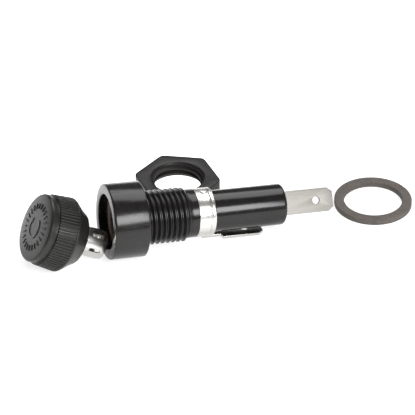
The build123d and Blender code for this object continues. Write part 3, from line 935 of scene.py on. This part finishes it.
class FUSE_OT_knob_shell(bpy.types.Operator):
    """Slotted metal shell with its two lugs"""

    bl_idname = "fuse.knob_shell"
    bl_label = "Knob shell"

    def execute(self, context):
        s = context.scene.fuse_knob
        place = knob_matrix()
        inverse = place.inverted()
        shell_end = max((inverse @ v.co).z for v in frame["nodes"]["knob_shell"].data.vertices)
        taper = shell_end - s.shell_taper
        slot_end = taper - s.slot_rest
        corner = s.slot_width / 4
        rows = [s.socket_floor + 0.3 * MM, s.slot_start, s.slot_start + corner, slot_end - corner, slot_end]
        radii = [s.shell_radius] * len(rows)
        for share in (0.0, 0.35, 0.7, 1.0):
            rows.append(taper + (shell_end - taper) * share)
            radii.append(s.shell_radius + (s.shell_end_radius - s.shell_radius) * share ** 1.3)
        slot_half = math.asin(s.slot_width / 2 / s.shell_radius)
        pitch = math.tau / s.slot_count
        turns = []
        for number in range(s.slot_count):
            start = s.first_slot + number * pitch - slot_half
            turns += [start, start + 0.3 * slot_half, start + 1.7 * slot_half, start + 2 * slot_half]
            web = pitch - 2 * slot_half
            turns += [start + 2 * slot_half + web * share / 8 for share in range(1, 8)]
        shell = bmesh.new()
        grid = [
            [shell.verts.new((radius * math.cos(t), radius * math.sin(t), height)) for t in turns]
            for height, radius in zip(rows, radii)
        ]
        for row in range(len(rows) - 1):
            for step in range(len(turns)):
                within = step % (len(turns) // s.slot_count)
                rounded_off = row in (1, 3) and within in (0, 2)
                if row in (1, 2, 3) and within < 3 and not rounded_off:
                    continue
                after = (step + 1) % len(turns)
                cell = (grid[row][step], grid[row][after], grid[row + 1][after], grid[row + 1][step])
                shell.faces.new(cell)
        bmesh.ops.recalc_face_normals(shell, faces=shell.faces)
        piece = add_piece("knob_shell_tube", shell, place)
        wall = piece.modifiers.new("wall", "SOLIDIFY")
        wall.thickness = s.shell_wall
        wall.offset = -1
        edge = piece.modifiers.new("edge", "BEVEL")
        edge.width = 0.07 * MM
        edge.segments = 2
        edge.limit_method = "ANGLE"
        edge.angle_limit = math.radians(40)
        bake_modifiers(piece)
        dress(piece, "bright tin shell", "knob", "tin_plate", "knob_shell")
        lugs = []
        for number in range(2):
            lug = lathe((
                (0, s.shell_radius - 0.3 * MM), (s.lug_radius, s.shell_radius - 0.3 * MM),
                (s.lug_radius, s.lug_reach, SOFT), (0, s.lug_reach),
            ), segments=32)
            lug.transform(
                Matrix.Rotation(s.lug_turn + number * math.pi, 4, "Z")
                @ Matrix.Translation((0, 0, s.lug_place)) @ Matrix.Rotation(math.pi / 2, 4, "Y"))
            lugs.append(lug)
        piece = add_piece("knob_shell_lugs", merged("lugs", lugs), place)
        dress(piece, "bright tin shell", "knob", "tin_plate", "knob_shell")
        return {"FINISHED"}


def bake_modifiers(piece):
    """Applies a piece's modifiers to its mesh."""
    graph = bpy.context.evaluated_depsgraph_get()
    mesh = bpy.data.meshes.new_from_object(piece.evaluated_get(graph))
    piece.modifiers.clear()
    old = piece.data
    piece.data = mesh
    bpy.data.meshes.remove(old)
    mesh.shade_smooth()
    mesh.set_sharp_from_angle(angle=math.radians(35))


class FUSE_OT_panel_nut(bpy.types.Operator):
    """Hexagon nut with rounded corners and a helical inner thread"""

    bl_idname = "fuse.panel_nut"
    bl_label = "Panel nut"

    def execute(self, context):
        s = context.scene.fuse_loose
        h = context.scene.fuse_holder
        place = flat_matrix("panel_nut")
        bore = h.thread_radius + s.nut_clearance
        outline = self.hexagon(s)
        blank = plate((outline, circle(bore + THREAD_LAP, 120)), s.nut_thickness, s.nut_edge)
        lift = Matrix.Translation((0, 0, s.nut_thickness / 2))
        piece = add_piece("panel_nut_body", blank, place @ lift)
        dress(piece, "matt nut moulding", "nut", "nut_black", "panel_nut")
        thread = grown("nut thread", thread_tree(), {
            "Root Radius": bore - THREAD_LAP, "Crest Radius": bore - h.thread_depth,
            "Back Radius": bore + THREAD_BACK, "Pitch": h.thread_pitch, "Start": s.nut_lead_in,
            "End": s.nut_thickness - s.nut_lead_in, "Turns": 5, "Segments": 96,
            "Material": bpy.data.materials["matt nut moulding"],
        })
        piece = add_piece("panel_nut_thread", thread, place, 25.0)
        dress(piece, "matt nut moulding", "nut", "nut_black", "panel_nut")
        return {"FINISHED"}

    def hexagon(self, s):
        """Rounded hexagon, each corner an arc."""
        reach = (s.nut_across_flats / 2 - s.nut_corner_round) / math.cos(math.pi / 6)
        points = []
        for corner in range(6):
            heading = s.nut_turned + corner * math.pi / 3
            for step in range(9):
                turn = heading + math.radians(-30 + 60 * step / 8)
                points.append((
                    reach * math.cos(heading) + s.nut_corner_round * math.cos(turn),
                    reach * math.sin(heading) + s.nut_corner_round * math.sin(turn),
                ))
        return points


class FUSE_OT_panel_gasket(bpy.types.Operator):
    """Flat rubber gasket with soft edges"""

    bl_idname = "fuse.panel_gasket"
    bl_label = "Panel gasket"

    def execute(self, context):
        s = context.scene.fuse_loose
        soft = s.gasket_round
        ring = lathe((
            (s.gasket_bore, 0, soft), (s.gasket_radius, 0, soft),
            (s.gasket_radius, s.gasket_thickness, soft), (s.gasket_bore, s.gasket_thickness, soft),
        ), segments=160)
        piece = add_piece("panel_gasket_ring", ring, flat_matrix("panel_gasket"), 60.0)
        dress(piece, "dull rubber", "gasket", "gasket_rubber", "panel_gasket")
        return {"FINISHED"}


class FUSE_OT_inner_pieces(bpy.types.Operator):
    """Finishes of the springs, contacts and rivets inside"""

    bl_idname = "fuse.inner_pieces"
    bl_label = "Inner pieces"

    def execute(self, context):
        finishes = {
            "drawn wire": ("knob_spring", "rear_spring"),
            "plain brass": ("knob_plunger", "rear_contact", "rear_spring_seat", "shell_rivet"),
            "bright tin shell": ("spring_washer",),
        }
        for finish, names in finishes.items():
            for name in names:
                mesh = frame["nodes"][name].data
                mesh.materials.clear()
                mesh.materials.append(bpy.data.materials[finish])
        return {"FINISHED"}


class FUSE_OT_finishes(bpy.types.Operator):
    bl_idname = "fuse.finishes"
    bl_label = "Finishes"

    def execute(self, context):
        make_finishes(context.scene)
        return {"FINISHED"}


def soft_light(name, place, aim, size, power):
    """Rectangular soft light that faces a point."""
    data = bpy.data.lights.new(name, "AREA")
    data.shape = "RECTANGLE"
    data.size = size[0]
    data.size_y = size[1]
    data.energy = power
    light = bpy.data.objects.new(name, data)
    light.location = place
    light.rotation_euler = (Vector(aim) - Vector(place)).to_track_quat("-Z", "Y").to_euler()
    bpy.context.scene.collection.objects.link(light)
    return light


class FUSE_OT_stage(bpy.types.Operator):
    """Plain pale floor that glows, with a painted shadow strip under the kit, soft studio lights and the
    camera
    """

    bl_idname = "fuse.stage"
    bl_label = "Stage"

    def execute(self, context):
        stage = context.scene.fuse_stage
        ring = holder_matrix(context.scene.fuse_holder).to_translation()
        self.floor(context)
        self.lights(context)
        data = bpy.data.cameras.new("camera")
        data.lens = stage.lens
        data.clip_start = 0.01
        camera = bpy.data.objects.new("camera", data)
        camera.location = ring + Vector((stage.camera_back, stage.camera_side, stage.camera_up))
        camera.rotation_euler = (math.pi / 2 - stage.drop, 0, stage.heading)
        context.scene.collection.objects.link(camera)
        context.scene.camera = camera
        context.scene.view_settings.view_transform = "Standard"
        return {"FINISHED"}

    def floor(self, context):
        shell = bmesh.new()
        bmesh.ops.create_grid(shell, x_segments=1, y_segments=1, size=1.5)
        floor = add_piece("floor", shell, Matrix.Identity(4))
        tint = context.scene.fuse_finishes.floor
        pale = surface("pale floor", Matrix.Identity(4), tint, (0.985, 1.01), (0.7, 0.8), grain=40,
                       bump=0.0, specular=0.2)
        stage = context.scene.fuse_stage
        shader = next(node for node in pale.node_tree.nodes if node.type == "BSDF_PRINCIPLED")
        shader.inputs["Emission Color"].default_value = (1, 1, 1, 1)
        bench = NodeBench(pale.node_tree)
        # Glow falls off towards a strip along Y under the kit: a painted shadow on the floor, seen in the
        # glossy pieces' reflections.
        spot = bench.node("ShaderNodeSeparateXYZ", {0: bench.node("ShaderNodeTexCoord").outputs["Object"]})
        aside = bench.math("ABSOLUTE", bench.math("SUBTRACT", spot.outputs["Y"], stage.shadow_strip_middle))
        glow = spread_between(bench, aside, stage.shadow_strip_half_width, stage.shadow_strip_reach, stage.shadow_strip_glow, stage.far_glow)
        bench.feed(shader.inputs["Emission Strength"], glow)
        floor.data.materials.append(pale)

    def lights(self, context):
        """Soft boxes above, beside the camera and on the left, and an even sky."""
        stage = context.scene.fuse_stage
        soft_light("top", (0.245, 0.42, 0.87), (0, 0, 0), (0.9, 0.65), stage.top_power)
        soft_light("front", (0.22, -0.73, 0.49), (0, 0, 0), (0.42, 0.38), stage.front_power)
        soft_light("left", (-0.72, -0.30, 0.42), (0, 0, 0), (0.45, 0.45), stage.left_power)
        world = bpy.data.worlds.new("studio")
        world.use_nodes = True
        sky = world.node_tree.nodes["Background"]
        sky.inputs["Color"].default_value = (1, 1, 1, 1)
        sky.inputs["Strength"].default_value = stage.sky
        context.scene.world = world


class FUSE_PT_panel(bpy.types.Panel):
    """Buttons for every group of pieces"""

    bl_idname = "FUSE_PT_panel"
    bl_label = "Fuse holder"
    bl_space_type = "VIEW_3D"
    bl_region_type = "UI"
    bl_category = "Fuse holder"

    def draw(self, context):
        for operator in OPERATORS:
            self.layout.operator(operator.bl_idname)


GROUPS = {
    "fuse_holder": HolderSizes, "fuse_knob": KnobSizes, "fuse_loose": LooseSizes,
    "fuse_finishes": FinishColours, "fuse_stage": StageSettings,
}
OPERATORS = (
    FUSE_OT_finishes, FUSE_OT_front_housing, FUSE_OT_mouth_metal, FUSE_OT_side_terminal, FUSE_OT_rear_tube,
    FUSE_OT_knob, FUSE_OT_knob_shell, FUSE_OT_panel_nut, FUSE_OT_panel_gasket, FUSE_OT_inner_pieces,
    FUSE_OT_stage,
)


def register():
    for kind in (*GROUPS.values(), *OPERATORS, FUSE_PT_panel):
        bpy.utils.register_class(kind)
    for name, group in GROUPS.items():
        setattr(bpy.types.Scene, name, bpy.props.PointerProperty(type=group))


def unregister():
    for name in GROUPS:
        delattr(bpy.types.Scene, name)
    for kind in (FUSE_PT_panel, *reversed(OPERATORS), *reversed(GROUPS.values())):
        bpy.utils.unregister_class(kind)


def main():
    """Registers the add-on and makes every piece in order."""
    register()
    for operator in OPERATORS:
        group, name = operator.bl_idname.split(".")
        getattr(getattr(bpy.ops, group), name)()


if __name__ == "__main__":
    main()
